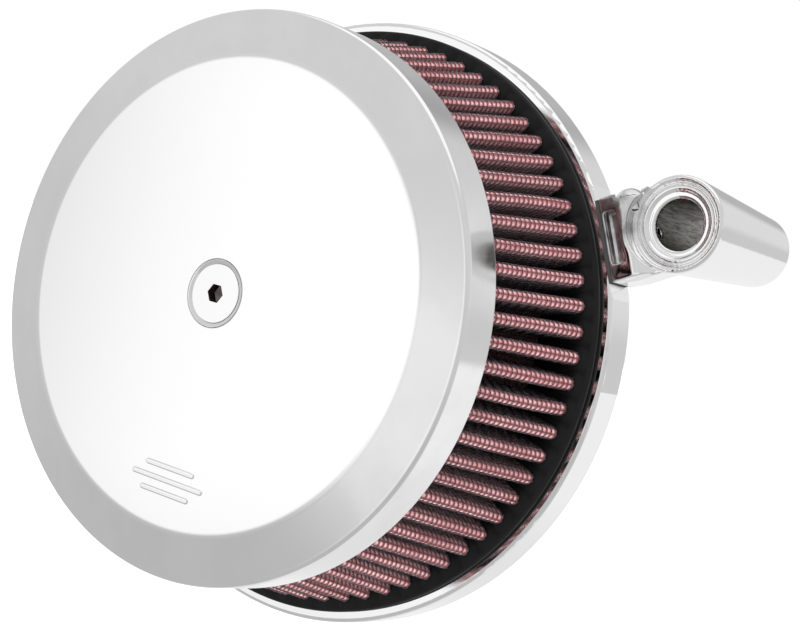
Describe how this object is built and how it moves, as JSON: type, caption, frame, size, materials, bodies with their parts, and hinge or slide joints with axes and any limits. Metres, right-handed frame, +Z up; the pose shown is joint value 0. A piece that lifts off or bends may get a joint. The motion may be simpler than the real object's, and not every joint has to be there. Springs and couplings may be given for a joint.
{
  "type": "air filter",
  "caption": "Round conical pleated air filter with polished cover, back plate and breather arms, for a V-twin motorcycle throttle body.",
  "frame": {"origin": "centre of the intake bore on the rear face of the back plate", "axes": "+Y along the intake axis towards the engine, so the cover faces -Y; +Z up; +X to the right seen from the cover"},
  "size_m": [0.2194, 0.1188, 0.178],
  "materials": {
    "chrome": "mirror polished",
    "arm_chrome": "polished casting",
    "machined_aluminium": "turned",
    "plated_steel": "zinc plated",
    "plain_steel": "satin",
    "screw_steel": "polished",
    "badge_metal": "polished",
    "mesh_wire": "epoxy coated wire",
    "oiled_cotton": "oiled cotton gauze",
    "cap_rubber": "moulded, slightly glossy",
    "gasket_rubber": "matte sheet",
    "seal_rubber": "smooth"
  },
  "bodies": {
    "mounting_base": {"back_plate": "chrome", "velocity_ring": "machined_aluminium", "throttle_gasket": "gasket_rubber", "throttle_screws": "plain_steel", "support_bridge": "plated_steel", "bridge_screws": "plain_steel", "right_breather_arm": "arm_chrome", "left_breather_arm": "arm_chrome", "right_standoff_seal": "seal_rubber", "left_standoff_seal": "seal_rubber", "right_arm_plug": "arm_chrome", "left_arm_plug": "arm_chrome", "right_arm_gasket": "gasket_rubber", "left_arm_gasket": "gasket_rubber", "arm_screws": "plain_steel"},
    "element": {"filter_media": "oiled_cotton", "outer_mesh": "mesh_wire", "inner_mesh": "mesh_wire", "rear_end_cap": "cap_rubber", "front_end_cap": "cap_rubber"},
    "cover": {"front_cover": "chrome", "cover_badge": "badge_metal", "cover_seal": "seal_rubber"},
    "cup_washer": {"screw_cup_washer": "screw_steel"},
    "screw": {"cover_screw": "screw_steel"}
  },
  "joints": [
    {"name": "element_lift_off", "type": "slide", "parent": "mounting_base", "child": "element", "axis": [0, -1, 0], "range_m": [0, 0.08]},
    {"name": "cover_lift_off", "type": "slide", "parent": "element", "child": "cover", "axis": [0, -1, 0], "range_m": [0, 0.06]},
    {"name": "screw_draw", "type": "slide", "parent": "cover", "child": "cup_washer", "axis": [0, -1, 0], "range_m": [0, 0.0184]},
    {"name": "screw_turn", "type": "hinge", "parent": "cup_washer", "child": "screw", "pos_m": [0, -0.05, 0], "axis": [0, -1, 0], "range_deg": [0, 4680]}
  ],
  "couplings": [
    {"joint": "screw_draw", "follows": "screw_turn", "m_per_rad": 0.00022458}
  ]
}
